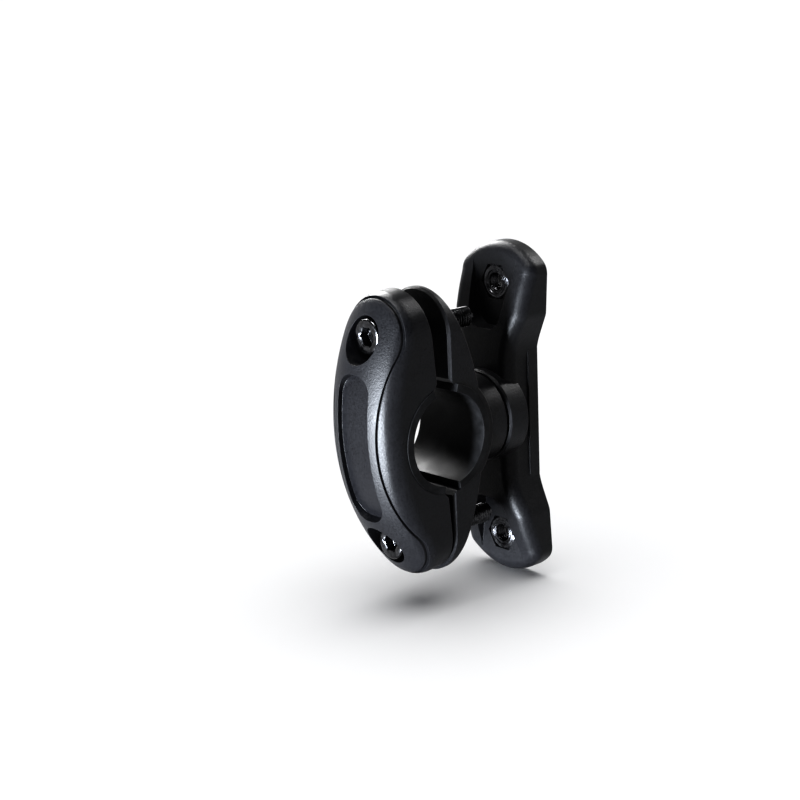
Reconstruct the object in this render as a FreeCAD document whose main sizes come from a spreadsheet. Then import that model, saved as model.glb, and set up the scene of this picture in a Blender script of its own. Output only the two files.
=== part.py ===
import FreeCAD, Part
import math
import os
import re
import Sketcher

# Bottle cage adapter for a round handlebar.
# Frame: +X along the bar, +Y from the front clamp half to the cage arm, +Z up.
# The origin is on the bar's axis, at the middle of the clamp. All sizes are millimetres and degrees.

SIZES = {
    # bar and rubber liners
    "bar_diameter": 22.2,
    "liner_wall": 1.85,
    "liner_gap": 0.05,
    "liner_width": 22.4,
    "liner_span": 152,
    # outline that both clamp halves share, seen along +Y
    "clamp_width": 22,
    "clamp_height": 69,
    "mouth_chamfer": 1,
    "sweep_span": 100,
    "trim_margin": 1,
    # front half: a face that bows over the height and is crowned over the width
    "front_split": 2,
    "front_tilt": 5,
    "front_rise": 0.8,
    "face_height": 20.3,
    "face_bow": 54.3,
    "face_crown": 17.1,
    "face_round": 5,
    "recess_width": 10.4,
    "recess_length": 35.6,
    "recess_depth": 1.3,
    "recess_corner": 4.4,
    "groove_width": 0.5,
    "groove_depth": 0.7,
    "groove_start": 5,
    "panel_margin": 0.8,
    "panel_waist": 7.2,
    "panel_fall": 3,
    # rear half
    "rear_split": 1,
    "rear_height": 13.4,
    "rear_bow": 60,
    "rear_crown": 25,
    "rear_rim": 0.6,
    "rear_round": 0.4,
    "bore_wall": 1.4,
    "boss_diameter": 22,
    "boss_face": 19,
    # clamp screws and their nuts
    "screw_spacing": 50,
    "front_hole": 6.8,
    "rear_hole": 5.5,
    "counterbore": 10.4,
    "screw_seat": 6.8,
    "clamp_screw_length": 27,
    "clamp_nut_floor": 3.2,
    # standard M5 hardware
    "screw_diameter": 5,
    "head_diameter": 8.5,
    "head_height": 5,
    "socket_across": 4,
    "socket_depth": 2.5,
    "head_edge": 0.5,
    "thread_edge": 0.6,
    "nut_across": 8,
    "nut_height": 4,
    "nut_chamfer_circle": 7.6,
    "thread_gap": 0.02,
    "empty_thread": 4.2,
    "nut_gap": 0.1,
    # toothed swivel between the rear half and the arm
    "tooth_count": 24,
    "tooth_height": 0.8,
    "tooth_share": 0.9,
    "tooth_gap": 0.1,
    "tooth_inner": 5.2,
    "tooth_outer": 10.2,
    "pivot_hole": 5.16,
    "pivot_nut_floor": 17.1,
    "pivot_screw_length": 14,
    "pivot_counterbore": 10.6,
    "pivot_head_sink": 0.3,
    "washer_diameter": 10,
    "washer_height": 1,
    # cage arm
    "arm_back": 32.5,
    "arm_front": 22.3,
    "arm_length": 83.6,
    "arm_end_width": 24.6,
    "arm_end_bow": 15.6,
    "arm_end_blend": 4,
    "arm_side_width": 23.2,
    "arm_neck_width": 16,
    "arm_edge": 3,
    "shoulder_drop": 7.5,
    "shoulder_blend": 4,
    "flare_length": 8.5,
    "neck_blend": 18,
    "slope_length": 15,
    "slope_bow": 62,
    "slope_blend": 15,
    "end_drop": 4.75,
    "hub_diameter": 22.8,
    "hub_depth": 3.6,
    "hub_edge": 0.5,
    "base_width": 16.8,
    "base_height": 3.2,
    "base_length": 40,
    # cage fixing
    "cage_spacing": 64,
    "cage_hole": 5.2,
    "cage_nut_sink": 0.05,
    "well_drop": 10.7,
    "well_rise": 7,
    "well_foot_width": 9.9,
    "well_top_width": 14.8,
    "well_corner": 3.6,
}


def bound(text):
    """Expression with each size name turned into a reference to the sheet."""
    return re.sub(r"[A-Za-z_]\w*", lambda word: refer(word.group(0)), text)


def refer(word):
    return "Sizes." + word if word in SIZES else word


def make_sheet(doc):
    sheet = doc.addObject("Spreadsheet::Sheet", "Sizes")
    for row, (name, number) in enumerate(SIZES.items(), start=1):
        sheet.set("A%d" % row, name)
        sheet.set("B%d" % row, str(number))
        sheet.setAlias("B%d" % row, name)
    doc.recompute()
    return sheet


def arc_between(start, finish, radius, turn):
    """The shorter arc from start to finish, with its centre on the left or the right of the way."""
    along = FreeCAD.Vector(finish[0] - start[0], finish[1] - start[1], 0)
    half = along.Length / 2
    left = FreeCAD.Vector(-along.y, along.x, 0).normalize()
    side = 1 if turn == "left" else -1
    middle = FreeCAD.Vector((start[0] + finish[0]) / 2, (start[1] + finish[1]) / 2, 0)
    centre = middle + left * side * math.sqrt(max(radius * radius - half * half, 0))
    first, last = (start, finish) if turn == "left" else (finish, start)
    angles = [math.atan2(point[1] - centre.y, point[0] - centre.x) for point in (first, last)]
    if angles[1] < angles[0]:
        angles[1] += 2 * math.pi
    return Part.ArcOfCircle(Part.Circle(centre, FreeCAD.Vector(0, 0, 1), radius), *angles)


class Outline:
    """A sketch whose corners and radii are expressions of the sheet's sizes."""

    def __init__(self, sketch):
        self.sketch = sketch

    def value(self, text):
        return float(self.sketch.evalExpression(bound(text)))

    def bind(self, constraint, text):
        index = self.sketch.addConstraint(constraint)
        self.sketch.setExpression("Constraints[%d]" % index, bound(text))

    def place(self, geometry, point, across, up):
        for kind, text in (("DistanceX", across), ("DistanceY", up)):
            number = self.value(text)
            if number == 0:
                axis = -2 if kind == "DistanceX" else -1
                self.sketch.addConstraint(Sketcher.Constraint("PointOnObject", geometry, point, axis))
            else:
                self.bind(Sketcher.Constraint(kind, -1, 1, geometry, point, number), text)

    def loop(self, *corners):
        """Closed loop. A corner is (x, y), or (x, y, radius, turn) where an arc leaves it."""
        places = [(self.value(corner[0]), self.value(corner[1])) for corner in corners]
        pieces = []
        for index, corner in enumerate(corners):
            start = places[index]
            finish = places[(index + 1) % len(places)]
            if len(corner) == 2:
                line = Part.LineSegment(FreeCAD.Vector(*start, 0), FreeCAD.Vector(*finish, 0))
                pieces.append((self.sketch.addGeometry(line, False), 1, 2))
                continue
            radius = self.value(corner[2])
            geometry = self.sketch.addGeometry(arc_between(start, finish, radius, corner[3]), False)
            pieces.append((geometry, 1, 2) if corner[3] == "left" else (geometry, 2, 1))
        for index, corner in enumerate(corners):
            geometry, first, _ = pieces[index]
            before, _, last = pieces[index - 1]
            self.sketch.addConstraint(Sketcher.Constraint("Coincident", before, last, geometry, first))
            self.place(geometry, first, corner[0], corner[1])
            if len(corner) > 2:
                radius = self.value(corner[2])
                self.bind(Sketcher.Constraint("Radius", geometry, radius), corner[2])
        return self

    def circle(self, across, up, diameter):
        radius = self.value(diameter) / 2
        centre = FreeCAD.Vector(self.value(across), self.value(up), 0)
        circle = Part.Circle(centre, FreeCAD.Vector(0, 0, 1), radius)
        geometry = self.sketch.addGeometry(circle, False)
        self.bind(Sketcher.Constraint("Diameter", geometry, 2 * radius), diameter)
        self.place(geometry, 3, across, up)
        return self

    def hexagon(self, across, up, flats):
        """Hexagon with flats above and below its centre."""
        corner = "(%s) / sqrt(3)" % flats
        turns = (("1", "0"), ("0.5", "0.5"), ("-0.5", "0.5"), ("-1", "0"), ("-0.5", "-0.5"), ("0.5", "-0.5"))
        self.loop(*[
            ("%s + %s * %s" % (across, x, corner), "%s + %s * (%s)" % (up, y, flats)) for x, y in turns])
        return self

    def rectangle(self, left, low, right, high):
        return self.loop((left, low), (right, low), (right, high), (left, high))

    def stadium(self, width, height):
        """Upright outline with half-round ends."""
        side = "(%s) / 2" % width
        shoulder = "(%s) / 2 - (%s) / 2" % (height, width)
        top = "(%s) / 2" % height
        return self.loop(
            (side, "-(%s)" % shoulder),
            (side, shoulder, side, "left"),
            ("0", top, side, "left"),
            ("-(%s)" % side, shoulder),
            ("-(%s)" % side, "-(%s)" % shoulder, side, "left"),
            ("0", "-(%s)" % top, side, "left"))

    def dog_bone(self, out):
        """Outline of the raised panel, moved outwards by the expression given."""
        lobe = "(clamp_width / 2 - panel_margin + %s)" % out
        middle = "(clamp_height / 2 - clamp_width / 2)"
        join = "(%s - panel_fall)" % middle
        side = "sqrt(%s^2 - panel_fall^2)" % lobe
        waist = "(panel_waist + %s)" % out
        bend = "((%s - %s)^2 + %s^2) / (2 * (%s - %s))" % (side, waist, join, side, waist)
        top = "%s + %s" % (middle, lobe)
        return self.loop(
            (side, join, lobe, "left"),
            ("0", top, lobe, "left"),
            ("-" + side, join, bend, "right"),
            ("-" + waist, "0", bend, "right"),
            ("-" + side, "-" + join, lobe, "left"),
            ("0", "-(%s)" % top, lobe, "left"),
            (side, "-" + join, bend, "right"),
            (waist, "0", bend, "right"))

    def axis_line(self, up):
        """Construction line across the sketch, for a revolve."""
        height = self.value(up)
        line = Part.LineSegment(FreeCAD.Vector(-5, height, 0), FreeCAD.Vector(5, height, 0))
        geometry = self.sketch.addGeometry(line, True)
        for point, across in ((1, -5), (2, 5)):
            self.sketch.addConstraint(Sketcher.Constraint("DistanceX", -1, 1, geometry, point, across))
            self.bind(Sketcher.Constraint("DistanceY", -1, 1, geometry, point, height), up)
        return self


class Solid:
    """A body built feature by feature. Each feature must change its volume."""

    def __init__(self, doc, name):
        self.doc = doc
        self.name = name
        self.body = doc.addObject("PartDesign::Body", name)
        self.body.Label = name
        self.volume = 0

    def origin(self, role):
        return [item for item in self.body.Origin.OriginFeatures if item.Role == role][0]

    def sketch(self, name, plane, offset="0"):
        """Sketch on an origin plane. XZ faces -Y, YZ faces +X and XY faces +Z."""
        sketch = self.body.newObject("Sketcher::SketchObject", self.name + "_" + name)
        sketch.AttachmentSupport = [(self.origin(plane + "_Plane"), "")]
        sketch.MapMode = "FlatFace"
        sketch.setExpression("AttachmentOffset.Base.z", bound(offset))
        return Outline(sketch)

    def feature(self, kind, name):
        return self.body.newObject("PartDesign::" + kind, self.name + "_" + name)

    def finish(self, feature, grows):
        self.doc.recompute()
        if "Invalid" in feature.State or "Error" in feature.State:
            raise RuntimeError("%s failed: %s" % (feature.Name, feature.getStatusString()))
        volume = feature.Shape.Volume
        change = volume - self.volume
        if (change <= 0) if grows else (change >= 0):
            raise RuntimeError("%s changed the volume by %.3f" % (feature.Name, change))
        self.volume = volume
        return feature

    def pad(self, name, outline, length, both=False, reverse=False):
        feature = self.feature("Pad", name)
        feature.Profile = outline.sketch
        feature.SideType = "Symmetric" if both else "One side"
        feature.Reversed = reverse
        feature.setExpression("Length", bound(length))
        return self.finish(feature, True)

    def pocket(self, name, outline, length=None, both=False, reverse=False):
        feature = self.feature("Pocket", name)
        feature.Profile = outline.sketch
        feature.SideType = "Symmetric" if both else "One side"
        feature.Reversed = reverse
        if length is None:
            feature.Type = "ThroughAll"
        else:
            feature.setExpression("Length", bound(length))
        return self.finish(feature, False)

    def revolve(self, name, outline, angle, axis="Axis0"):
        feature = self.feature("Revolution", name)
        feature.Profile = outline.sketch
        feature.ReferenceAxis = (outline.sketch, [axis])
        feature.Midplane = True
        feature.setExpression("Angle", bound(angle))
        return self.finish(feature, True)

    def groove(self, name, outline, angle, axis="Axis0"):
        feature = self.feature("Groove", name)
        feature.Profile = outline.sketch
        feature.ReferenceAxis = (outline.sketch, [axis])
        feature.Midplane = True
        feature.setExpression("Angle", bound(angle))
        return self.finish(feature, False)

    def edge_names(self, wanted):
        shape = self.body.Tip.Shape
        return ["Edge%d" % (index + 1) for index, edge in enumerate(shape.Edges) if wanted(edge)]

    def fillet(self, name, wanted, radius, grows=False):
        base = self.body.Tip
        edges = self.edge_names(wanted)
        feature = self.feature("Fillet", name)
        feature.Base = (base, edges)
        feature.setExpression("Radius", bound(radius))
        return self.finish(feature, grows)

    def chamfer(self, name, wanted, size):
        base = self.body.Tip
        edges = self.edge_names(wanted)
        feature = self.feature("Chamfer", name)
        feature.Base = (base, edges)
        feature.setExpression("Size", bound(size))
        return self.finish(feature, False)

    def tooth_ring(self, root, tip, turn):
        """Ring of radial teeth from the plane y = root to ridges at y = tip, turned by part of a pitch."""
        slope = "tan(180 / tooth_count)"
        outlines = []
        for name, radius in (("tooth_inside", "tooth_inner"), ("tooth_outside", "tooth_outer")):
            middle = "%s * tan(%s * 360 / tooth_count)" % (radius, turn)
            half = "%s * tooth_share * %s" % (radius, slope)
            outline = self.sketch(name, "YZ", radius)
            outline.loop((root, "%s - %s" % (middle, half)), (root, "%s + %s" % (middle, half)), (tip, middle))
            outlines.append(outline)
        loft = self.feature("AdditiveLoft", "tooth")
        loft.Profile = outlines[0].sketch
        loft.Sections = [outlines[1].sketch]
        loft.Ruled = True
        self.finish(loft, True)
        pattern = self.feature("PolarPattern", "teeth")
        pattern.Originals = [loft]
        pattern.Axis = (self.origin("Y_Axis"), [""])
        pattern.Angle = 360
        pattern.setExpression("Occurrences", bound("tooth_count"))
        self.body.Tip = pattern
        return self.finish(pattern, True)

    def put(self, along, up, turn=0):
        """Places the body: turned about its own Z, then moved along Y and up."""
        self.body.Placement = FreeCAD.Placement(
            FreeCAD.Vector(0, 0, 0), FreeCAD.Rotation(FreeCAD.Vector(0, 0, 1), turn))
        self.body.setExpression("Placement.Base.y", bound(along))
        self.body.setExpression("Placement.Base.z", bound(up))


def value(doc, text):
    return float(doc.getObject("Sizes").evalExpression(bound(text)))


def parallel(edge, axis):
    """True for a straight edge along the axis given."""
    ends = [vertex.Point for vertex in edge.Vertexes]
    if len(ends) != 2 or not isinstance(edge.Curve, (Part.Line, Part.LineSegment)):
        return False
    way = (ends[1] - ends[0]).normalize()
    return abs(abs(way.dot(axis)) - 1) < 1e-6


def samples(edge, count=5):
    first, last = edge.ParameterRange
    return [edge.valueAt(first + (last - first) * step / (count - 1)) for step in range(count)]


ALONG_X = FreeCAD.Vector(1, 0, 0)
ALONG_Y = FreeCAD.Vector(0, 1, 0)
NEAR = 0.01


def split_and_trim(part, split_low, split_high):
    """Cuts the half at its mating plane and to the outline that both halves share."""
    reach = "clamp_height"
    plane = part.sketch("split", "YZ")
    plane.rectangle(split_low, "-" + reach, split_high, reach)
    part.pocket("split_cut", plane, both=True)
    outline = part.sketch("outline", "XZ")
    outline.rectangle("-" + reach, "-" + reach, reach, reach)
    outline.stadium("clamp_width", "clamp_height")
    part.pocket("outline_cut", outline, both=True)


def cut_bore(part, split, drop="0"):
    """Half-round seat for a liner, with its two mouth edges broken."""
    seat = part.sketch("seat", "YZ")
    seat.circle("0", "-" + drop, "bar_diameter + 2 * (liner_wall + liner_gap)")
    part.pocket("seat_cut", seat, both=True)
    level = value(part.doc, split)
    height = value(part.doc, "clamp_height / 4")

    def at_mouth(edge):
        middle = samples(edge, 3)[1]
        return parallel(edge, ALONG_X) and abs(middle.y - level) < NEAR and abs(middle.z) < height
    part.chamfer("mouth_chamfers", at_mouth, "mouth_chamfer")


def make_front_blank(doc, name):
    """Solid front half: its face bows about an axis behind the part and is crowned across."""
    part = Solid(doc, name)
    wide = "(clamp_width / 2 + trim_margin)"
    edge = "face_crown - face_height - sqrt(face_crown^2 - %s^2)" % wide
    section = part.sketch("section", "XY")
    section.loop(("-" + wide, "0"), (wide, "0"), (wide, edge, "face_crown", "right"), ("-" + wide, edge))
    section.axis_line("face_bow - face_height")
    part.revolve("shell", section, "sweep_span")
    split_and_trim(part, "-front_split", "clamp_height")
    level = value(doc, "-front_split")

    def around_face(item):
        middle = samples(item, 3)[1]
        return not parallel(item, ALONG_Y) and middle.y < level - NEAR
    part.fillet("face_round", around_face, "face_round")
    return part


def make_front_half(doc):
    part = make_front_blank(doc, "front_half_blank")
    cut_bore(part, "-front_split", "front_rise")
    holes = part.sketch("holes", "XZ")
    sinks = part.sketch("sinks", "XZ", "screw_seat")
    for sign in ("", "-"):
        holes.circle("0", sign + "screw_spacing / 2", "front_hole")
        sinks.circle("0", sign + "screw_spacing / 2", "counterbore")
    part.pocket("screw_holes", holes, both=True)
    part.pocket("counterbores", sinks, reverse=True)

    # The long recess follows the bow, with a flat floor across.
    side = "recess_width / 2"
    floor = "face_crown - face_height - sqrt(face_crown^2 - (%s)^2) + recess_depth" % side
    recess = part.sketch("recess", "XY")
    recess.rectangle("-" + side, "-face_height - trim_margin", side, floor)
    recess.axis_line("face_bow - face_height")
    part.groove("recess_cut", recess, "2 * asin(recess_length / 2 / face_bow)")
    half_width = value(doc, side)
    foot = value(doc, "recess_length / 2 - recess_corner / 2")

    def recess_corner(item):
        points = samples(item, 3)
        beside = all(abs(abs(point.x) - half_width) < NEAR for point in points)
        return beside and isinstance(item.Curve, Part.Line) and abs(points[1].z) > foot
    part.fillet("recess_corners", recess_corner, "recess_corner", grows=True)

    # A fine groove bounds the raised panel: a thin ring, cut down to a second blank set back by its depth.
    ring = doc.addObject("Sketcher::SketchObject", "panel_ring")
    ring.Placement = FreeCAD.Placement(FreeCAD.Vector(0, 0, 0), FreeCAD.Rotation(ALONG_X, 90))
    ring.setExpression("Placement.Base.y", bound("-groove_start"))
    Outline(ring).dog_bone("groove_width / 2").dog_bone("-groove_width / 2")
    prism = doc.addObject("Part::Extrusion", "panel_prism")
    prism.Base = ring
    prism.DirMode = "Custom"
    prism.Dir = -ALONG_Y
    prism.Solid = True
    prism.setExpression("LengthFwd", bound("face_height"))
    floor_blank = make_front_blank(doc, "panel_floor")
    floor_blank.put("groove_depth", "0")
    tool = doc.addObject("Part::Cut", "panel_groove")
    tool.Base = prism
    tool.Tool = floor_blank.body
    half = doc.addObject("Part::Cut", "front_half_grooved")
    half.Base = part.body
    half.Tool = tool
    half.Label = "front_clamp_half"
    half.Placement = FreeCAD.Placement(FreeCAD.Vector(0, 0, 0), FreeCAD.Rotation(ALONG_X, 1))
    half.setExpression("Placement.Rotation.Angle", bound("front_tilt"))
    half.setExpression("Placement.Base.y", bound("-front_rise * sin(front_tilt)"))
    half.setExpression("Placement.Base.z", bound("front_rise * cos(front_tilt)"))
    doc.recompute()
    return half


def make_rear_half(doc):
    part = Solid(doc, "rear_clamp_half")
    wide = "(clamp_width / 2 + trim_margin)"
    edge = "rear_height - rear_crown + sqrt(rear_crown^2 - %s^2)" % wide
    section = part.sketch("section", "XY")
    section.loop(("-" + wide, "0"), (wide, "0"), (wide, edge, "rear_crown", "left"), ("-" + wide, edge))
    section.axis_line("rear_height - rear_bow")
    part.revolve("shell", section, "sweep_span")
    sleeve = part.sketch("sleeve", "YZ")
    sleeve.circle("0", "0", "bar_diameter + 2 * (liner_wall + liner_gap + bore_wall)")
    part.pad("sleeve_wall", sleeve, "clamp_width", both=True)
    split_and_trim(part, "-clamp_height", "rear_split")
    level = value(doc, "rear_split")

    def on_rim(item):
        return all(abs(point.y - level) < NEAR for point in samples(item))

    def around_back(item):
        beside = all(abs(abs(point.x) - half_width) < NEAR for point in samples(item))
        at_end = all(abs(math.hypot(point.x, abs(point.z) - centre) - half_width) < NEAR
                     for point in samples(item))
        return (beside or at_end) and not on_rim(item) and not parallel(item, ALONG_Y)
    half_width = value(doc, "clamp_width / 2")
    centre = value(doc, "clamp_height / 2 - clamp_width / 2")
    part.fillet("back_round", around_back, "rear_round")
    part.chamfer("rim_chamfer", on_rim, "rear_rim")
    boss = part.sketch("boss", "XZ")
    boss.circle("0", "0", "boss_diameter")
    part.pad("pivot_boss", boss, "boss_face", reverse=True)
    clear = part.sketch("clear", "XZ", "-rear_split")
    clear.circle("0", "0", "boss_diameter + trim_margin")
    part.pocket("boss_trim", clear, "boss_face", reverse=True)
    cut_bore(part, "rear_split")

    holes = part.sketch("holes", "XZ")
    pockets = part.sketch("nut_pockets", "XZ", "-clamp_nut_floor")
    for sign in ("", "-"):
        holes.circle("0", sign + "screw_spacing / 2", "rear_hole")
        pockets.hexagon("0", sign + "screw_spacing / 2", "nut_across + 2 * nut_gap")
    part.pocket("screw_holes", holes, both=True)
    part.pocket("clamp_nut_pockets", pockets)

    nut = part.sketch("pivot_nut_pocket", "XZ", "-pivot_nut_floor")
    nut.hexagon("0", "0", "nut_across + 2 * nut_gap")
    part.pocket("pivot_nut_pocket_cut", nut, "pivot_nut_floor", reverse=True)
    bore = part.sketch("pivot_bore", "XZ")
    bore.circle("0", "0", "rear_hole")
    part.pocket("pivot_bore_cut", bore, both=True)
    part.tooth_ring("boss_face", "boss_face + tooth_height", "0")
    return part.body


def make_liner(doc, name, side):
    """Half-round rubber liner. side is - for the front half and empty for the rear half."""
    part = Solid(doc, name)
    inner = "bar_diameter / 2"
    outer = "(bar_diameter / 2 + liner_wall)"
    across, up = "cos(liner_span / 2)", "sin(liner_span / 2)"
    turn, back = ("left", "right") if side == "" else ("right", "left")
    ring = part.sketch("ring", "YZ")
    ring.loop(
        ("%s%s * %s" % (side, inner, across), "-%s * %s" % (inner, up)),
        ("%s%s * %s" % (side, outer, across), "-%s * %s" % (outer, up), outer, turn),
        ("%s%s * %s" % (side, outer, across), "%s * %s" % (outer, up)),
        ("%s%s * %s" % (side, inner, across), "%s * %s" % (inner, up), inner, back))
    part.pad("ring_pad", ring, "liner_width", both=True)
    if side:
        part.body.Placement = FreeCAD.Placement(FreeCAD.Vector(0, 0, 0), FreeCAD.Rotation(ALONG_X, 1))
        part.body.setExpression("Placement.Rotation.Angle", bound("front_tilt"))
    return part.body


def make_cap_screw(doc, name, length):
    """Socket cap screw along +Y, with the top of its head at y = 0."""
    part = Solid(doc, name)
    head, shank = "head_diameter / 2", "screw_diameter / 2"
    tip = "head_height + %s" % length
    profile = part.sketch("profile", "YZ")
    profile.loop(
        ("0", "0"),
        (tip, "0"),
        (tip, shank + " - thread_edge"),
        (tip + " - thread_edge", shank),
        ("head_height", shank),
        ("head_height", head),
        ("head_edge", head),
        ("0", head + " - head_edge"))
    part.revolve("turned", profile, "360", "H_Axis")
    socket = part.sketch("socket", "XZ")
    socket.hexagon("0", "0", "socket_across")
    part.pocket("socket_cut", socket, "socket_depth")
    return part


def make_nut(doc, name, bore):
    """Hexagon nut from y = 0 towards +Y, with both faces chamfered to a circle."""
    part = Solid(doc, name)
    plan = part.sketch("plan", "XZ")
    plan.hexagon("0", "0", "nut_across")
    plan.circle("0", "0", bore)
    part.pad("blank", plan, "nut_height", reverse=True)
    corner = "(nut_across / sqrt(3) + trim_margin)"
    ring = "nut_chamfer_circle / 2"
    fall = "(%s - %s) * tan(30)" % (corner, ring)
    front = part.sketch("front_chamfer", "YZ")
    front.loop(("0", ring), (fall, corner), ("0", corner))
    part.groove("front_chamfer_cut", front, "360", "H_Axis")
    back = part.sketch("back_chamfer", "YZ")
    back.loop(("nut_height", ring), ("nut_height", corner), ("nut_height - %s" % fall, corner))
    part.groove("back_chamfer_cut", back, "360", "H_Axis")
    return part


def make_washer(doc, name):
    part = Solid(doc, name)
    plan = part.sketch("plan", "XZ")
    plan.circle("0", "0", "washer_diameter")
    plan.circle("0", "0", "pivot_hole")
    part.pad("blank", plan, "washer_height", reverse=True)
    return part


def make_arm(doc):
    part = Solid(doc, "cage_arm")
    end, side, neck = "arm_end_width / 2", "arm_side_width / 2", "arm_neck_width / 2"
    top = "arm_length / 2"
    corner = "(arm_length / 2 - arm_end_bow + sqrt(arm_end_bow^2 - (%s)^2))" % end
    shoulder = "(cage_spacing / 2 - shoulder_drop)"
    foot = "(cage_spacing / 2 - shoulder_drop - flare_length)"
    hub = "(boss_face + tooth_height + tooth_gap)"
    plan = part.sketch("plan", "XZ", "-arm_back")
    plan.loop(
        (neck, "-" + foot),
        (neck, foot),
        (side, shoulder),
        (end, corner, "arm_end_bow", "left"),
        ("0", top, "arm_end_bow", "left"),
        ("-" + end, corner),
        ("-" + side, shoulder),
        ("-" + neck, foot),
        ("-" + neck, "-" + foot),
        ("-" + side, "-" + shoulder),
        ("-" + end, "-" + corner, "arm_end_bow", "left"),
        ("0", "-" + top, "arm_end_bow", "left"),
        (end, "-" + corner),
        (side, "-" + shoulder))
    part.pad("blank", plan, "arm_back - arm_front")

    def upright_at(text):
        height = value(doc, text)
        return lambda item: parallel(item, ALONG_Y) and abs(abs(samples(item, 3)[1].z) - height) < NEAR
    part.fillet("end_blends", upright_at(corner), "arm_end_blend")
    part.fillet("shoulder_blends", upright_at(shoulder), "shoulder_blend")
    part.fillet("neck_blends", upright_at(foot), "neck_blend", grows=True)

    # Past the wells' feet the front falls back to the flat ends in a shallow bow.
    face = part.sketch("front_profile", "YZ")
    level = "(arm_front + end_drop)"
    slope_end = "(cage_spacing / 2 - well_drop + slope_length)"
    slope_foot = "(cage_spacing / 2 - well_drop)"
    far = "arm_length"
    face.loop(
        ("arm_front", "-" + slope_foot),
        ("arm_front", slope_foot, "slope_bow", "right"),
        (level, slope_end),
        (level, far),
        ("0", far),
        ("0", "-" + far),
        (level, "-" + far),
        (level, "-" + slope_end, "slope_bow", "right"))
    part.pocket("front_cut", face, both=True)

    def crease_at(text):
        height = value(doc, text)
        return lambda item: parallel(item, ALONG_X) and abs(abs(samples(item, 3)[1].z) - height) < NEAR
    part.fillet("slope_feet", crease_at(slope_foot), "slope_blend")
    part.fillet("slope_ends", crease_at(slope_end), "slope_blend", grows=True)
    back = value(doc, "arm_back")

    def around_front(item):
        points = samples(item)
        in_front = all(point.y < back - NEAR for point in points)
        return in_front and not parallel(item, ALONG_X) and not parallel(item, ALONG_Y)
    part.fillet("front_edges", around_front, "arm_edge")

    # A round hub carries the teeth, and a plain base plate lies along the back of the narrow neck.
    disc = part.sketch("hub", "XZ", "-" + hub)
    disc.circle("0", "0", "hub_diameter")
    part.pad("hub_disc", disc, "arm_front - %s + hub_depth" % hub, reverse=True)
    face_level, rim = value(doc, hub), value(doc, "hub_diameter / 2")

    def hub_rim(item):
        return all(abs(point.y - face_level) < NEAR and abs(math.hypot(point.x, point.z) - rim) < NEAR
                   for point in samples(item))
    part.chamfer("hub_chamfer", hub_rim, "hub_edge")
    base = part.sketch("base", "XZ", "-arm_back")
    base.rectangle("-base_width / 2", "-base_length / 2", "base_width / 2", "base_length / 2")
    part.pad("base_plate", base, "base_height")

    wells = part.sketch("nut_wells", "XZ", "-" + level)
    seats = part.sketch("nut_seats", "XZ", "-%s - cage_nut_sink - nut_height" % level)
    holes = part.sketch("cage_holes", "XZ")
    low, high = "well_foot_width / 2", "well_top_width / 2"
    for sign in ("", "-"):
        well_foot = sign + slope_foot
        well_top = sign + "(cage_spacing / 2 + well_rise)"
        wells.loop(("-" + low, well_foot), (low, well_foot), (high, well_top), ("-" + high, well_top))
        seats.hexagon("0", sign + "cage_spacing / 2", "nut_across + 2 * nut_gap")
        holes.circle("0", sign + "cage_spacing / 2", "cage_hole")
    part.pocket("nut_well_cut", wells, reverse=True)
    part.fillet("well_corners", upright_at(slope_foot), "well_corner", grows=True)
    part.pocket("nut_seat_cut", seats, reverse=True)
    part.pocket("cage_hole_cut", holes, both=True)

    bore = part.sketch("pivot_bore", "XZ")
    bore.circle("0", "0", "pivot_hole")
    part.pocket("pivot_bore_cut", bore, both=True)
    sink = part.sketch("pivot_sink", "XZ", "-arm_back")
    sink.circle("0", "0", "pivot_counterbore")
    part.pocket("pivot_sink_cut", sink, "pivot_head_sink + head_height + washer_height", reverse=True)
    part.tooth_ring(hub, hub + " - tooth_height", "0.5")
    return part.body


def make_hardware(doc):
    """Screws, washer and nuts, each on the seat that its neighbours give it."""
    pieces = []
    # Each clamp head rests on the high edge of its seat, which leans with the front half.
    for name, sign in (("upper", ""), ("lower", "-")):
        screw = make_cap_screw(doc, name + "_clamp_screw", "clamp_screw_length")
        high_edge = "(%sscrew_spacing / 2 + head_diameter / 2)" % sign
        under = "(-screw_seat - %s * sin(front_tilt)) / cos(front_tilt)" % high_edge
        screw.put(under + " - head_height", sign + "screw_spacing / 2")
        pieces.append(screw.body)
        nut = make_nut(doc, name + "_clamp_nut", "screw_diameter + 2 * thread_gap")
        nut.put("clamp_nut_floor", sign + "screw_spacing / 2")
        pieces.append(nut.body)
    pivot = make_cap_screw(doc, "pivot_screw", "pivot_screw_length")
    pivot.put("arm_back - pivot_head_sink", "0", 180)
    washer = make_washer(doc, "pivot_washer")
    washer.put("arm_back - pivot_head_sink - head_height - washer_height", "0")
    pivot_nut = make_nut(doc, "pivot_nut", "screw_diameter + 2 * thread_gap")
    pivot_nut.put("pivot_nut_floor - nut_height", "0")
    pieces += [pivot.body, washer.body, pivot_nut.body]
    for name, sign in (("upper", ""), ("lower", "-")):
        nut = make_nut(doc, name + "_cage_nut", "empty_thread")
        nut.put("arm_front + end_drop + cage_nut_sink", sign + "cage_spacing / 2")
        pieces.append(nut.body)
    return pieces


def check(doc, pieces):
    for item in doc.Objects:
        if "Invalid" in item.State or "Error" in item.State:
            raise RuntimeError("%s is not sound: %s" % (item.Name, item.State))
    for piece in pieces:
        if piece.Shape.isNull() or not piece.Shape.isValid():
            raise RuntimeError("%s has no valid shape" % piece.Label)
        if len(piece.Shape.Solids) != 1:
            raise RuntimeError("%s has %d solids" % (piece.Label, len(piece.Shape.Solids)))


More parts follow.
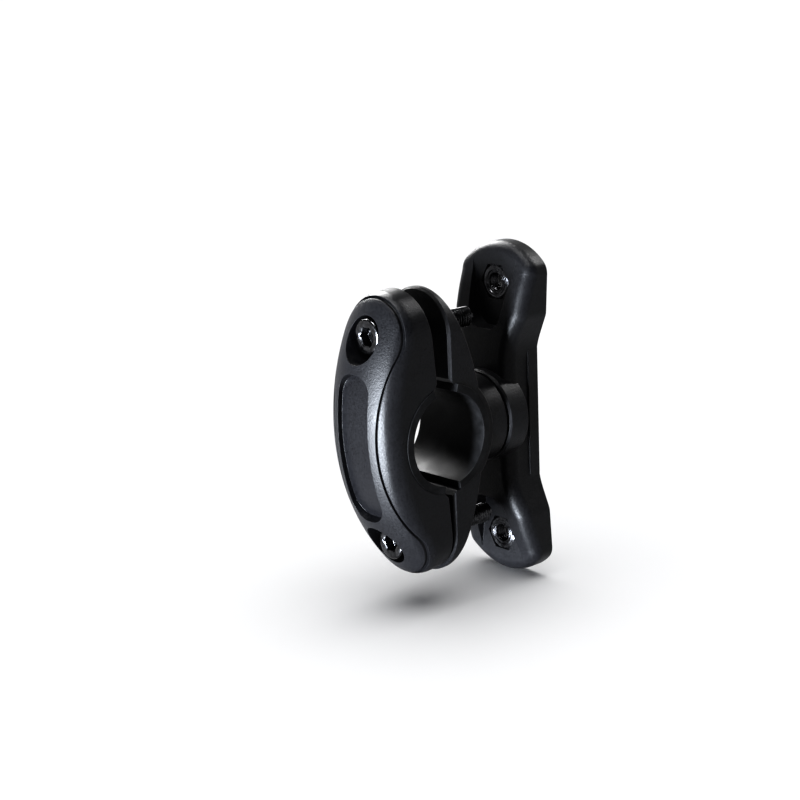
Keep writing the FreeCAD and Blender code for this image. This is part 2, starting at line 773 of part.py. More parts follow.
def main():
    doc = FreeCAD.newDocument("bottle_cage_adapter")
    make_sheet(doc)
    pieces = [
        make_front_half(doc),
        make_rear_half(doc),
        make_liner(doc, "front_liner", "-"),
        make_liner(doc, "rear_liner", ""),
        make_arm(doc)]
    pieces += make_hardware(doc)
    doc.recompute()
    check(doc, pieces)
    os.makedirs("parts", exist_ok=True)
    for piece in pieces:
        piece.Shape.exportStep("parts/%s.step" % piece.Label)
        print("%-18s volume %9.1f mm3" % (piece.Label, piece.Shape.Volume))


main()
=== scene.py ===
"""Dressed model of a bottle cage adapter for a handlebar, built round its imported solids."""

from __future__ import annotations

import logging
import math
from collections.abc import Callable, Iterator
from contextlib import contextmanager
from dataclasses import dataclass
from enum import Enum

import bmesh
import bpy
from mathutils import Matrix, Quaternion, Vector

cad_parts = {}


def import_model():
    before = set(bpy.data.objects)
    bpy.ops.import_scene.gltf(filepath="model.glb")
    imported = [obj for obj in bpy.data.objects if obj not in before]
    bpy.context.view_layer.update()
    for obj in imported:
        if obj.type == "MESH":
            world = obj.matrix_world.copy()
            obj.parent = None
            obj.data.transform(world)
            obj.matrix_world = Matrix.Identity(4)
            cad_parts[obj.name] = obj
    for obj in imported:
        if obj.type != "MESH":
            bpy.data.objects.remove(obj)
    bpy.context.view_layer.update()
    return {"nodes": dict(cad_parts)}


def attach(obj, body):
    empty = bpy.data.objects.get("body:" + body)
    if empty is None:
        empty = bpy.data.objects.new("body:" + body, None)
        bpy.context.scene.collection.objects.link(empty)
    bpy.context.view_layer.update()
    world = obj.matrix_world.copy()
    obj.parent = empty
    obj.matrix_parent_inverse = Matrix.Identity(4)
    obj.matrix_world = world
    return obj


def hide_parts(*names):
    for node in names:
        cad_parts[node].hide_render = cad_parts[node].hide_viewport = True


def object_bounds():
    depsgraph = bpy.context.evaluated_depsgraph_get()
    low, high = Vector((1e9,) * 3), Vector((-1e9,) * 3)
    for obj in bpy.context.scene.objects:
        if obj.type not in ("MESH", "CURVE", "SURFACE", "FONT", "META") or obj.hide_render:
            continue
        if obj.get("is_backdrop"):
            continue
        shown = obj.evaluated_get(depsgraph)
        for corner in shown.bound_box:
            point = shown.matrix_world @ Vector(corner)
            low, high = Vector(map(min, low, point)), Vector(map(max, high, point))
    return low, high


LOG = logging.getLogger("adapter")
MM = 0.001
# Round that sharp edges show, in millimetres.
EDGE = 0.22
Size = float | Callable[[float, int], float]


class Body(Enum):
    """Bodies of the frame that a piece can ride on."""

    CLAMP = "clamp"
    ARM = "arm"


class Slot(Enum):
    """Material slots of the record."""

    SHELL = "shell_plastic"
    LINER = "liner_rubber"
    SCREW = "screw_steel"
    NUT = "nut_steel"


class Graph:
    """Node tree of one material, with short calls for the nodes that the finishes share."""

    def __init__(self, name: str) -> None:
        """Makes the material with a Principled shader and its output.

        Args:
            name: name of the material.
        """
        self.material = bpy.data.materials.new(name)
        self.material.use_nodes = True
        self.tree = self.material.node_tree
        self.tree.nodes.clear()
        self.shader = self.tree.nodes.new("ShaderNodeBsdfPrincipled")
        output = self.tree.nodes.new("ShaderNodeOutputMaterial")
        self.tree.links.new(self.shader.outputs["BSDF"], output.inputs["Surface"])

    def put(self, socket: bpy.types.NodeSocket, value: object) -> None:
        """Links a socket to another, or sets its value.

        Args:
            socket: input socket.
            value: output socket, number or tuple.
        """
        if isinstance(value, bpy.types.NodeSocket):
            self.tree.links.new(value, socket)
        else:
            socket.default_value = value

    def node(self, kind: str, inputs: dict[str | int, object], **settings: object) -> bpy.types.Node:
        """Adds a node.

        Args:
            kind: Blender's name of the node type, without ShaderNode.
            inputs: value or link of each named input.
            settings: attributes of the node.

        Returns:
            The node.
        """
        made = self.tree.nodes.new("ShaderNode" + kind)
        for key, value in settings.items():
            setattr(made, key, value)
        for key, value in inputs.items():
            self.put(made.inputs[key], value)
        return made

    def place(self, turn: tuple[float, float, float] = (0, 0, 0), shift: tuple[float, float, float] = (0, 0, 0),
              stretch: tuple[float, float, float] = (1, 1, 1)) -> bpy.types.NodeSocket:
        """Object coordinates, moved, turned and stretched by a Mapping node.

        Args:
            turn: turn about each axis, in degrees.
            shift: move in metres.
            stretch: factor along each axis.

        Returns:
            The coordinates.
        """
        source = self.node("TexCoord", {}).outputs["Object"]
        angles = tuple(math.radians(angle) for angle in turn)
        inputs = {"Vector": source, "Location": shift, "Rotation": angles, "Scale": stretch}
        return self.node("Mapping", inputs).outputs["Vector"]

    def noise(self, place: bpy.types.NodeSocket, grain: float, detail: float = 2.0) -> bpy.types.NodeSocket:
        """Noise with features of about the size given.

        Args:
            place: coordinates.
            grain: size of a feature in millimetres.
            detail: octaves of the noise.

        Returns:
            The noise as a number near 0.5.
        """
        inputs = {"Vector": place, "Scale": 1 / (grain * MM), "Detail": detail, "Roughness": 0.6}
        return self.node("TexNoise", inputs).outputs["Fac"]

    def ramp(self, value: bpy.types.NodeSocket, low: float, high: float, start: float = 0.0,
             end: float = 1.0) -> bpy.types.NodeSocket:
        """Maps a number from one range to another, and holds it there.

        Args:
            value: number.
            low: lower end of its range.
            high: upper end of its range.
            start: result at the lower end.
            end: result at the upper end.

        Returns:
            The mapped number.
        """
        inputs = {"Value": value, "From Min": low, "From Max": high, "To Min": start, "To Max": end}
        return self.node("MapRange", inputs, clamp=True, interpolation_type="SMOOTHSTEP").outputs["Result"]

    def sum(self, operation: str, first: object, second: object = 0.0) -> bpy.types.NodeSocket:
        """Result of a Math node.

        Args:
            operation: Blender's name of the operation.
            first: number or link.
            second: number or link.

        Returns:
            The number.
        """
        return self.node("Math", {0: first, 1: second}, operation=operation).outputs[0]

    def blend(self, share: object, dark: object, light: object) -> bpy.types.NodeSocket:
        """Mix of two colours.

        Args:
            share: share of the second colour.
            dark: first colour.
            light: second colour.

        Returns:
            The colour.
        """
        mix = self.node("Mix", {}, data_type="RGBA")
        self.put(mix.inputs[0], share)
        self.put(mix.inputs[6], dark)
        self.put(mix.inputs[7], light)
        return mix.outputs[2]

    def bump(self, height: bpy.types.NodeSocket, depth: float, strength: object = 1.0) -> None:
        """Gives the shader a relief, and sharp edges a small round.

        Args:
            height: height from 0 to 1.
            depth: depth in millimetres.
            strength: share of the relief that shows.
        """
        soft = self.node("Bevel", {"Radius": EDGE * MM}, samples=4).outputs["Normal"]
        inputs = {"Height": height, "Distance": depth * MM, "Strength": strength, "Normal": soft}
        self.put(self.shader.inputs["Normal"], self.node("Bump", inputs).outputs["Normal"])

    def parts(self, place: bpy.types.NodeSocket) -> list[bpy.types.NodeSocket]:
        """X, Y and Z of some coordinates.

        Args:
            place: coordinates.

        Returns:
            The three numbers.
        """
        return list(self.node("SeparateXYZ", {"Vector": place}).outputs)


@dataclass(frozen=True)
class Recess:
    """Polished floor of the front half's long recess, in the half's own frame and in millimetres."""

    radius: float = 52.84
    half_width: float = 5.2
    bow_centre: float = 34.0
    edge: float = 0.12

    def inside(self, graph: Graph, across: bpy.types.NodeSocket, along: bpy.types.NodeSocket,
               up: bpy.types.NodeSocket) -> bpy.types.NodeSocket:
        """Gives 1 on the recess floor and 0 elsewhere.

        Args:
            graph: node tree.
            across: X of the place.
            along: Y of the place.
            up: Z of the place.

        Returns:
            The share.
        """
        back = graph.sum("SUBTRACT", self.bow_centre * MM, along)
        square = graph.sum("ADD", graph.sum("MULTIPLY", back, back), graph.sum("MULTIPLY", up, up))
        depth, beside = graph.sum("SQRT", square), graph.sum("ABSOLUTE", across)
        sunk = graph.ramp(depth, (self.radius - self.edge) * MM, (self.radius + self.edge) * MM, 1.0, 0.0)
        middle = graph.ramp(beside, (self.half_width - self.edge) * MM, (self.half_width + self.edge) * MM, 1.0, 0.0)
        return graph.sum("MULTIPLY", sunk, middle)


@dataclass(frozen=True)
class MouldedPlastic:
    """Glass-filled nylon from a spark-textured mould: fine grain, and satin where the mould was polished."""

    name: str
    dark: tuple[float, float, float, float] = (0.0016, 0.0016, 0.0019, 1)
    light: tuple[float, float, float, float] = (0.0058, 0.0058, 0.0066, 1)
    rough: float = 0.45
    satin: float = 0.34
    grain: float = 0.36
    relief: float = 0.045
    smooth_side: float = 0.0
    turn: float = 0.0
    rise: float = 0.0
    recess: Recess | None = None

    def make(self) -> bpy.types.Material:
        """Builds the material.

        Returns:
            The material.
        """
        graph = Graph(self.name)
        place = graph.place(turn=(self.turn, 0, 0), shift=(0, 0, -self.rise * MM))
        pits = graph.noise(place, self.grain, 2.0)
        specks = graph.node("TexVoronoi", {"Vector": place, "Scale": 1 / (self.grain * 1.5 * MM)}).outputs["Distance"]
        cloud = graph.noise(place, 7.0, 4.0)
        across, along, up = graph.parts(place)
        texture: bpy.types.NodeSocket | float = 1.0
        if self.smooth_side:
            beside = graph.sum("ABSOLUTE", across)
            texture = graph.ramp(beside, (self.smooth_side - 1.6) * MM, self.smooth_side * MM, 1.0, 0.2)
        if self.recess:
            polished = graph.sum("MULTIPLY", 0.85, self.recess.inside(graph, across, along, up))
            texture = graph.sum("MULTIPLY", texture, graph.sum("SUBTRACT", 1.0, polished))
        height = graph.sum("ADD", graph.sum("MULTIPLY", pits, 0.7), graph.sum("MULTIPLY", specks, 0.3))
        tone = graph.sum("ADD", graph.sum("MULTIPLY", graph.ramp(height, 0.3, 0.6), 0.7),
                         graph.sum("MULTIPLY", cloud, 0.3))
        graph.put(graph.shader.inputs["Base Color"], graph.blend(tone, self.dark, self.light))
        gloss = graph.sum("ADD", graph.ramp(pits, 0.3, 0.7, -0.05, 0.05), graph.ramp(cloud, 0.35, 0.65, -0.02, 0.02))
        base: bpy.types.NodeSocket | float = self.rough
        if isinstance(texture, bpy.types.NodeSocket):
            base = graph.ramp(texture, 0.0, 1.0, self.satin, self.rough)
        graph.put(graph.shader.inputs["Roughness"], graph.sum("ADD", base, gloss))
        graph.shader.inputs["IOR"].default_value = 1.5
        graph.shader.inputs["Specular IOR Level"].default_value = 0.17
        graph.bump(height, self.relief, texture)
        return graph.material


@dataclass(frozen=True)
class BlackSteel:
    """Black-oxide steel: dark and shiny, with turning marks and a faint mottle."""

    name: str
    dark: tuple[float, float, float, float] = (0.04, 0.04, 0.042, 1)
    light: tuple[float, float, float, float] = (0.09, 0.09, 0.093, 1)
    rough: float = 0.2
    grain: float = 1.2

    def make(self) -> bpy.types.Material:
        """Builds the material.

        Returns:
            The material.
        """
        graph = Graph(self.name)
        spots = graph.noise(graph.place(), self.grain, 4.0)
        fine = graph.noise(graph.place(stretch=(1, 0.15, 1)), self.grain * 0.15, 3.0)
        graph.put(graph.shader.inputs["Base Color"], graph.blend(graph.ramp(spots, 0.3, 0.7), self.dark, self.light))
        graph.shader.inputs["Metallic"].default_value = 1.0
        graph.put(graph.shader.inputs["Roughness"], graph.sum(
            "ADD", graph.ramp(spots, 0.3, 0.7, self.rough - 0.04, self.rough + 0.06),
            graph.ramp(fine, 0.3, 0.7, -0.04, 0.05)))
        graph.bump(fine, 0.003)
        return graph.material


@dataclass(frozen=True)
class LinerRubber:
    """Black rubber with a soft bloom and fine mould grain."""

    name: str
    dark: tuple[float, float, float, float] = (0.003, 0.003, 0.0032, 1)
    light: tuple[float, float, float, float] = (0.01, 0.01, 0.0105, 1)
    rough: float = 0.5

    def make(self) -> bpy.types.Material:
        """Builds the material.

        Returns:
            The material.
        """
        graph = Graph(self.name)
        place = graph.place()
        bloom = graph.noise(place, 4.0, 4.0)
        fine = graph.noise(place, 0.3, 2.0)
        graph.put(graph.shader.inputs["Base Color"], graph.blend(graph.ramp(bloom, 0.3, 0.7), self.dark, self.light))
        graph.put(graph.shader.inputs["Roughness"], graph.sum(
            "ADD", graph.ramp(bloom, 0.3, 0.7, self.rough - 0.06, self.rough + 0.08),
            graph.ramp(fine, 0.3, 0.7, -0.04, 0.04)))
        graph.shader.inputs["Specular IOR Level"].default_value = 0.1
        graph.bump(fine, 0.012)
        return graph.material


def select_only(piece: bpy.types.Object) -> None:
    """Selects one object and makes it the active one.

    Args:
        piece: object to select.
    """
    bpy.ops.object.select_all(action="DESELECT")
    piece.select_set(True)
    bpy.context.view_layer.objects.active = piece


def select_rims() -> None:
    """Selects the open edges of the mesh in edit mode, and nothing else."""
    bpy.ops.mesh.select_non_manifold(extend=False, use_wire=False, use_multi_face=False,
                                     use_non_contiguous=False, use_verts=False)


@contextmanager
def editing(piece: bpy.types.Object) -> Iterator[bmesh.types.BMesh]:
    """Edit mode on one object, with its mesh, and back to object mode.

    Args:
        piece: object to edit.

    Yields:
        The edit mesh.
    """
    select_only(piece)
    bpy.ops.object.mode_set(mode="EDIT")
    yield bmesh.from_edit_mesh(piece.data)
    bmesh.update_edit_mesh(piece.data)
    bpy.ops.object.mode_set(mode="OBJECT")


def measure(size: Size, angle: float, index: int) -> float:
    """Size at one angle of a turned ring.

    Args:
        size: number of millimetres, or a function of the angle and the vertex that gives it.
        angle: angle about the axis.
        index: number of the vertex.

    Returns:
        The size in metres.
    """
    return (size(angle, index) if callable(size) else size) * MM


def turned(name: str, sides: int, rings: list[tuple[Size, Size]], through: bool = False) -> bpy.types.Object:
    """Turns a piece about Z: a circle is drawn out ring after ring, and its ends are closed.

    Args:
        name: name of the object.
        sides: vertices of a ring.
        rings: radius and height of each ring, in millimetres, as numbers or as functions of the angle.
        through: True joins the last ring to the first, for a piece with a hole.

    Returns:
        The object.
    """
    bpy.ops.object.select_all(action="DESELECT")
    bpy.ops.mesh.primitive_circle_add(vertices=sides, radius=MM, fill_type="NOTHING", location=(0, 0, 0))
    piece = bpy.context.object
    piece.name = name
    order = [math.atan2(vertex.co.y, vertex.co.x) for vertex in piece.data.vertices]
    with editing(piece):
        bpy.ops.mesh.select_all(action="SELECT")
        for number, (radius, height) in enumerate(rings):
            if number:
                bpy.ops.mesh.extrude_region_move()
            mesh = bmesh.from_edit_mesh(piece.data)
            for vertex in mesh.verts:
                if vertex.select:
                    angle = math.atan2(vertex.co.y, vertex.co.x)
                    index = min(range(sides), key=lambda item: abs(turn_between(order[item], angle)))
                    reach = measure(radius, angle, index)
                    vertex.co = (reach * math.cos(angle), reach * math.sin(angle), measure(height, angle, index))
        if through:
            select_rims()
            bpy.ops.mesh.bridge_edge_loops()
        else:
            bpy.ops.mesh.merge(type="CENTER")
            select_rims()
            bpy.ops.mesh.edge_face_add()
            bpy.ops.mesh.poke()
        bpy.ops.mesh.select_all(action="SELECT")
        bpy.ops.mesh.normals_make_consistent(inside=False)
    return piece


def turn_between(first: float, second: float) -> float:
    """Difference of two angles.

    Args:
        first: first angle.
        second: second angle.

    Returns:
        The difference, from -pi to pi.
    """
    return (first - second + math.pi) % (2 * math.pi) - math.pi


def hexagon(across: float) -> Callable[[float, int], float]:
    """Outline of a hexagon.

    Args:
        across: width across its flats.

    Returns:
        Its radius as a function of the angle.
    """
    def reach(angle: float, index: int) -> float:
        away = (angle + math.pi / 6) % (math.pi / 3) - math.pi / 6
        return across / 2 / math.cos(abs(away) - math.pi / 6)
    return reach


def run_modifier(piece: bpy.types.Object, kind: str, **settings: object) -> None:
    """Adds a modifier and applies it.

    Args:
        piece: object that gets it.
        kind: type of the modifier.
        settings: its attributes.
    """
    select_only(piece)
    modifier = piece.modifiers.new(kind.title(), kind)
    for key, value in settings.items():
        setattr(modifier, key, value)
    bpy.ops.object.modifier_apply(modifier=modifier.name)


def seat(piece: bpy.types.Object, place: Matrix, smooth: float = 32.0) -> None:
    """Moves a finished mesh to its place and shades it.

    Args:
        piece: object modelled about the origin.
        place: its place in the frame.
        smooth: faces meeting below this angle, in degrees, shade as one.
    """
    select_only(piece)
    piece.matrix_world = place @ piece.matrix_world
    bpy.ops.object.transform_apply(location=True, rotation=True, scale=True)
    bpy.ops.object.shade_smooth_by_angle(angle=math.radians(smooth))


def along_y(distance: float, height: float, back: bool = False) -> Matrix:
    """Place of a turned piece, in millimetres.

    Args:
        distance: where its zero height goes along Y.
        height: where its axis goes along Z.
        back: False turns its height towards -Y, True towards +Y.

    Returns:
        The place.
    """
    turn = Matrix.Rotation(math.radians(-90 if back else 90), 4, "X")
    return Matrix.Translation((0, distance * MM, height * MM)) @ turn


def dress(piece: bpy.types.Object, material: bpy.types.Material) -> None:
    """Gives a piece one material.

    Args:
        piece: object that gets it.
        material: its only material.
    """
    piece.data.materials.clear()
    piece.data.materials.append(material)


@dataclass
class CapScrew:
    """M5 socket screw with a knurled head and a cut thread. Height 0 is under its head."""

    node: str
    place: Matrix
    length: float
    head_radius: float = 4.25
    head_height: float = 5.0
    across: float = 4.0
    socket_depth: float = 2.5
    shank_radius: float = 2.46
    core_radius: float = 2.05
    pitch: float = 0.8
    plain: float = 1.2
    sides: int = 96
    knurl: float = 0.11

    def knurled(self, radius: float) -> Callable[[float, int], float]:
        """Outline of a straight knurl.

        Args:
            radius: radius of its crests.

        Returns:
            Its radius as a function of the vertex.
        """
        return lambda angle, index: radius - self.knurl * (index % 2)

    def head(self) -> bpy.types.Object:
        """Turns the head with its socket and the plain neck below it.

        Returns:
            The head.
        """
        top, hexagonal = self.head_height, hexagon(self.across)
        grip = self.knurled(self.head_radius)
        rings = [
            (self.core_radius * 0.98, -self.plain - 0.4), (self.shank_radius, -self.plain), (self.shank_radius, -0.15),
            (self.shank_radius + 0.12, 0.0), (self.head_radius - 0.35, 0.0), (grip, 0.22), (grip, top - 0.75),
            (self.head_radius - 0.05, top - 0.62), (self.head_radius - 0.12, top - 0.35),
            (self.head_radius - 0.3, top - 0.12), (self.head_radius - 0.55, top), (self.across * 0.64, top),
            (hexagonal, top - 0.28), (hexagonal, top - self.socket_depth), (0.9, top - self.socket_depth - 0.5)]
        return turned(self.node + "_head", self.sides, rings)

    def thread(self) -> bpy.types.Object:
        """Draws one pitch of the thread round the axis, turn after turn, and closes its ends.

        Returns:
            The thread.
        """
        pitch, core, crest = self.pitch, self.core_radius, self.shank_radius
        turns = int((self.length - self.plain) / pitch)
        start = -self.length
        outline = [(core, 0.0), (core, 0.08), (crest, 0.36), (crest, 0.46), (core, pitch)]
        mesh = bpy.data.meshes.new(self.node + "_thread")
        points = [(radius * MM, 0, (start + height) * MM) for radius, height in outline]
        mesh.from_pydata(points, [(index, index + 1) for index in range(len(points) - 1)], [])
        piece = bpy.data.objects.new(self.node + "_thread", mesh)
        bpy.context.scene.collection.objects.link(piece)
        run_modifier(piece, "SCREW", axis="Z", steps=32, render_steps=32, screw_offset=pitch * MM,
                     iterations=turns, use_merge_vertices=True, merge_threshold=1e-6, use_smooth_shade=False)
        with editing(piece):
            bpy.ops.mesh.select_all(action="SELECT")
            bpy.ops.mesh.remove_doubles(threshold=2e-6)
            select_rims()
            bpy.ops.mesh.edge_face_add()
        with editing(piece) as mesh:
            close_ends(mesh)
            end, bevel = start * MM, 0.5 * MM
            for vertex in mesh.verts:
                reach = math.hypot(vertex.co.x, vertex.co.y)
                limit = (self.core_radius - 0.15) * MM + max(vertex.co.z - end, 0)
                if vertex.co.z - end < bevel and reach > limit:
                    vertex.co.x *= limit / reach
                    vertex.co.y *= limit / reach
            bmesh.ops.recalc_face_normals(mesh, faces=mesh.faces)
        return piece

    def build(self, steel: bpy.types.Material, body: Body) -> bpy.types.Object:
        """Models the screw in place of its solid.

        Args:
            steel: finish.
            body: body that carries it.

        Returns:
            The screw.
        """
        head, thread = self.head(), self.thread()
        select_only(head)
        thread.select_set(True)
        bpy.ops.object.join()
        head.name = self.node + "_dressed"
        seat(head, self.place)
        dress(head, steel)
        finish_piece(head, body, Slot.SCREW, self.node)
        return head


def close_ends(mesh: bmesh.types.BMesh) -> None:
    """Closes each open boundary of a mesh with a fan to its middle.

    Args:
        mesh: mesh to close.
    """
    open_edges = [edge for edge in mesh.edges if edge.is_boundary]
    while open_edges:
        loop, rest = [open_edges[0]], set(open_edges[1:])
        corners = set(loop[0].verts)
        grown = True
        while grown:
            touching = [edge for edge in rest if corners & set(edge.verts)]
            grown = bool(touching)
            for edge in touching:
                rest.discard(edge)
                loop.append(edge)
                corners |= set(edge.verts)
        middle = mesh.verts.new(sum((vertex.co for vertex in corners), Vector()) / len(corners))
        for edge in loop:
            mesh.faces.new((edge.verts[0], edge.verts[1], middle))
        open_edges = list(rest)


def finish_piece(piece: bpy.types.Object, body: Body, slot: Slot, *nodes: str) -> None:
    """Lets a piece ride on its body in place of its solids, and reports it.

    Args:
        piece: finished piece.
        body: body that carries it.
        slot: material slot of the record; not used.
        nodes: solids that it stands for.
    """
    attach(piece, body.value)
    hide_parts(*nodes)
    LOG.info("%s: %d faces", piece.name, len(piece.data.polygons))


@dataclass
class HexNut:
    """M5 nut with chamfered corners, countersunk mouths and a thread. Height 0 is its lower face."""

    node: str
    place: Matrix
    bore: float = 2.1
    across: float = 8.0
    height: float = 4.0
    face_radius: float = 3.8
    pitch: float = 0.8
    sides: int = 96

    def outline(self, angle: float, index: int) -> float:
        """Outline of the hexagon with its corners just broken.

        Args:
            angle: angle about the axis.
            index: number of the vertex.

        Returns:
            The radius there.
        """
        return min(hexagon(self.across)(angle, index), self.across / math.sqrt(3) - 0.08)

    def fall(self, angle: float, index: int) -> float:
        """Drop of the chamfer below the face, where it meets the flats.

        Args:
            angle: angle about the axis.
            index: number of the vertex.

        Returns:
            The drop there.
        """
        return (self.outline(angle, index) - self.face_radius) * math.tan(math.radians(30))

    def build(self, steel: bpy.types.Material, body: Body) -> bpy.types.Object:
        """Models the nut in place of its solid.

        Args:
            steel: finish.
            body: body that carries it.

        Returns:
            The nut.
        """
        top = self.height
        rings: list[tuple[Size, Size]] = [
            (self.bore + 0.55, 0.0), (self.face_radius, 0.0), (self.outline, self.fall),
            (self.outline, lambda angle, index: top - self.fall(angle, index)), (self.face_radius, top - 0.05),
            (self.bore + 1.3, top - 0.12), (self.bore + 1.1, top), (self.bore + 0.9, top),
            (self.bore + 0.72, top - 0.3), (self.bore + 0.5, top - 0.3), (self.bore + 0.34, top - 0.12),
            (self.bore + 0.14, top - 0.16)]
        height = top - 0.6
        while height > 0.6:
            rings += [(self.bore, height), (self.bore + 0.32, height - self.pitch / 2)]
            height -= self.pitch
        piece = turned(self.node + "_dressed", self.sides, rings, through=True)
        seat(piece, self.place)
        dress(piece, steel)
        finish_piece(piece, body, Slot.NUT, self.node)
        return piece


@dataclass
class Hardware:
    """The adapter's screws and nuts, in millimetres."""

    clamp_height: float = 25.0
    clamp_under: tuple[float, float] = (-9.385, -5.01)
    clamp_length: float = 27.0
    clamp_nut: float = 3.2
    pivot_under: float = 27.2
    pivot_length: float = 14.0
    pivot_nut: float = 13.1
    cage_height: float = 32.0
    cage_nut: float = 27.1

    def build(self) -> None:
        """Models every screw and nut and seats each where its solid is."""
        screw_steel = BlackSteel("black_oxide_screw").make()
        nut_steel = BlackSteel("black_oxide_nut", (0.03, 0.03, 0.032, 1), (0.07, 0.07, 0.073, 1), 0.26).make()
        sides = (("upper", 1), ("lower", -1))
        for (name, sign), under in zip(sides, self.clamp_under):
            place = along_y(under, sign * self.clamp_height)
            CapScrew(name + "_clamp_screw", place, self.clamp_length).build(screw_steel, Body.CLAMP)
            place = along_y(self.clamp_nut, sign * self.clamp_height, back=True)
            HexNut(name + "_clamp_nut", place, bore=2.5).build(nut_steel, Body.CLAMP)
            place = along_y(self.cage_nut + 4.0, sign * self.cage_height)
            HexNut(name + "_cage_nut", place).build(nut_steel, Body.ARM)
        place = along_y(self.pivot_under, 0, back=True)
        CapScrew("pivot_screw", place, self.pivot_length).build(screw_steel, Body.CLAMP)
        HexNut("pivot_nut", along_y(self.pivot_nut, 0, back=True), bore=2.5).build(nut_steel, Body.CLAMP)


@dataclass
class Shells:
    """The moulded halves, the arm and the liners, which keep their solids."""

    tilt: float = 5.0
    rise: float = 0.8

    def dress(self, nodes: dict[str, bpy.types.Object]) -> None:
        """Gives each solid its finish.

        Args:
            nodes: solids of the frame by name.
        """
        front = MouldedPlastic("front_half_plastic", rough=0.41, satin=0.33, grain=0.34, relief=0.06, smooth_side=9.8,
                               turn=-self.tilt, rise=self.rise, recess=Recess())
        finishes = {
            "front_clamp_half": front.make(),
            "rear_clamp_half": MouldedPlastic("rear_half_plastic", grain=0.4, relief=0.06).make(),
            "cage_arm": MouldedPlastic("arm_plastic", grain=0.38, relief=0.06, smooth_side=12.0).make(),
            "front_liner": LinerRubber("liner_rubber").make(),
        }
        finishes["rear_liner"] = finishes["front_liner"]
        finishes["pivot_washer"] = BlackSteel("black_oxide_washer").make()
        for name, material in finishes.items():
            dress(nodes[name], material)
            LOG.info("%s keeps its solid", name)


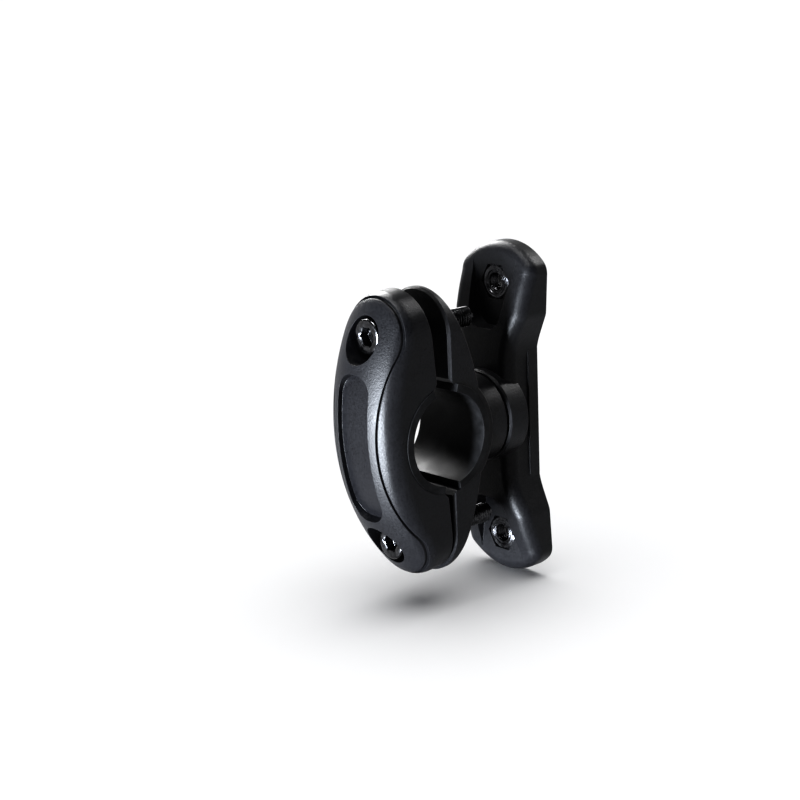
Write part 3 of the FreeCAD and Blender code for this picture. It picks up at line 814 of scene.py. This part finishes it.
@dataclass
class Studio:
    """Floor, lights and camera, in millimetres and degrees, but the floor's spread and bowl in metres."""

    floor: float = -42.2
    floor_spread: float = 16.0
    bowl_start: float = 3.0
    bowl_rise: float = 0.08
    azimuth: float = 49.109
    elevation: float = 13.582
    roll: float = -2.44
    camera: tuple[float, float, float] = (259.755, -229.935, 91.601)
    lens: float = 68.4
    floor_power: float = 2.2
    world_power: float = 0.08
    plane: bpy.types.Object | None = None

    def backdrop(self) -> bpy.types.Object:
        """Lays a wide pale floor that rises like a bowl far from the object.

        Returns:
            The floor.
        """
        bpy.ops.object.select_all(action="DESELECT")
        bpy.ops.mesh.primitive_grid_add(x_subdivisions=60, y_subdivisions=60, size=self.floor_spread,
                                        location=(0, 0, self.floor * MM))
        plane = bpy.context.object
        plane.name = "floor"
        for vertex in plane.data.vertices:
            vertex.co.z = self.bowl_rise * max(vertex.co.xy.length - self.bowl_start, 0.0) ** 2
        bpy.ops.object.shade_smooth()
        graph = Graph("pale_floor")
        cloud = graph.noise(graph.place(), 400.0, 2.0)
        graph.put(graph.shader.inputs["Base Color"], graph.blend(cloud, (0.86, 0.86, 0.87, 1), (0.9, 0.9, 0.9, 1)))
        graph.shader.inputs["Roughness"].default_value = 0.75
        dress(plane, graph.material)
        plane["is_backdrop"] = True
        return plane

    def receivers(self, name: str, state: str) -> bpy.types.Collection:
        """Names the floor in a collection that lets a light reach it alone, or all but it.

        Args:
            name: name of the collection.
            state: INCLUDE or EXCLUDE.

        Returns:
            The collection.
        """
        group = bpy.data.collections.new(name)
        group.objects.link(self.plane)
        group.collection_objects[0].light_linking.link_state = state
        return group

    def light(self, name: str, azimuth: float, elevation: float, distance: float, size: tuple[float, float],
              power: float, tint: tuple[float, float, float], lit: bpy.types.Collection) -> None:
        """Adds an area light that faces the object.

        Args:
            name: name of the light.
            azimuth: direction from the object, in the convention of direction().
            elevation: height above the horizon.
            distance: distance from the origin, in metres.
            size: width and height, in metres.
            power: power in watts.
            tint: colour.
            lit: what it lights.
        """
        data = bpy.data.lights.new(name, "AREA")
        data.shape = "RECTANGLE"
        data.size, data.size_y = size
        data.energy = power
        data.color = tint
        lamp = bpy.data.objects.new(name, data)
        bpy.context.scene.collection.objects.link(lamp)
        away = direction(azimuth, elevation)
        lamp.location = away * distance
        lamp.rotation_mode = "QUATERNION"
        lamp.rotation_quaternion = away.to_track_quat("Z", "Y")
        lamp.light_linking.receiver_collection = lit
        if lit.name == "object_only":
            lamp.light_linking.blocker_collection = lit

    def floor_light(self, lit: bpy.types.Collection) -> None:
        """Lights the floor evenly from a wide sky, up to its far rim.

        Args:
            lit: the floor.
        """
        data = bpy.data.lights.new("floor_light", "SUN")
        data.energy = self.floor_power
        data.angle = math.radians(70)
        lamp = bpy.data.objects.new("floor_light", data)
        bpy.context.scene.collection.objects.link(lamp)
        lamp.light_linking.receiver_collection = lit

    def build(self) -> None:
        """Sets up the floor, the lights, the world and the camera."""
        self.plane = self.backdrop()
        world = bpy.data.worlds.new("studio")
        world.use_nodes = True
        sky = world.node_tree.nodes["Background"]
        sky.inputs["Color"].default_value = (0.95, 0.97, 1.0, 1)
        sky.inputs["Strength"].default_value = self.world_power
        bpy.context.scene.world = world
        bpy.context.scene.view_settings.view_transform = "Standard"
        bpy.context.scene.view_settings.look = "High Contrast"
        floor_only = self.receivers("floor_only", "INCLUDE")
        object_only = self.receivers("object_only", "EXCLUDE")
        self.light("front_softbox", 6, -12, 0.6, (0.13, 0.42), 34.0, (0.86, 0.92, 1.0), object_only)
        self.light("top_softbox", 0, 80, 0.9, (0.3, 0.3), 6.0, (1, 1, 1), object_only)
        self.light("rim_strip", 172, 40, 0.7, (0.06, 0.5), 4.0, (1, 1, 1), object_only)
        self.light("back_softbox", 250, 35, 0.8, (0.4, 0.4), 12.0, (1, 1, 1), object_only)
        self.floor_light(floor_only)
        camera = bpy.data.objects.new("camera", bpy.data.cameras.new("camera"))
        bpy.context.scene.collection.objects.link(camera)
        camera.data.sensor_width = 36.0
        camera.data.lens = self.lens
        camera.data.clip_start = 0.01
        camera.location = Vector(self.camera) * MM
        camera.rotation_mode = "QUATERNION"
        back = direction(self.azimuth, self.elevation)
        turn = Quaternion((0, 0, 1), math.radians(self.roll))
        camera.rotation_quaternion = (-back).to_track_quat("-Z", "Y") @ turn
        bpy.context.scene.camera = camera


def direction(azimuth: float, elevation: float) -> Vector:
    """Direction from the object.

    Args:
        azimuth: turn about Z from -Y towards +X, in degrees.
        elevation: height above the horizon, in degrees.

    Returns:
        The unit vector.
    """
    turn, rise = math.radians(azimuth), math.radians(elevation)
    return Vector((math.sin(turn) * math.cos(rise), -math.cos(turn) * math.cos(rise), math.sin(rise)))


def corners() -> list[list[float]]:
    """Box round what is shown.

    Returns:
        Its lowest and its highest corner.
    """
    return [list(corner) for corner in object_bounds()]


def main() -> None:
    """Builds the dressed model round the frame."""
    logging.basicConfig(level=logging.INFO, format="%(message)s")
    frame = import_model()
    Shells().dress(frame["nodes"])
    Hardware().build()
    Studio().build()


if __name__ == "__main__":
    main()
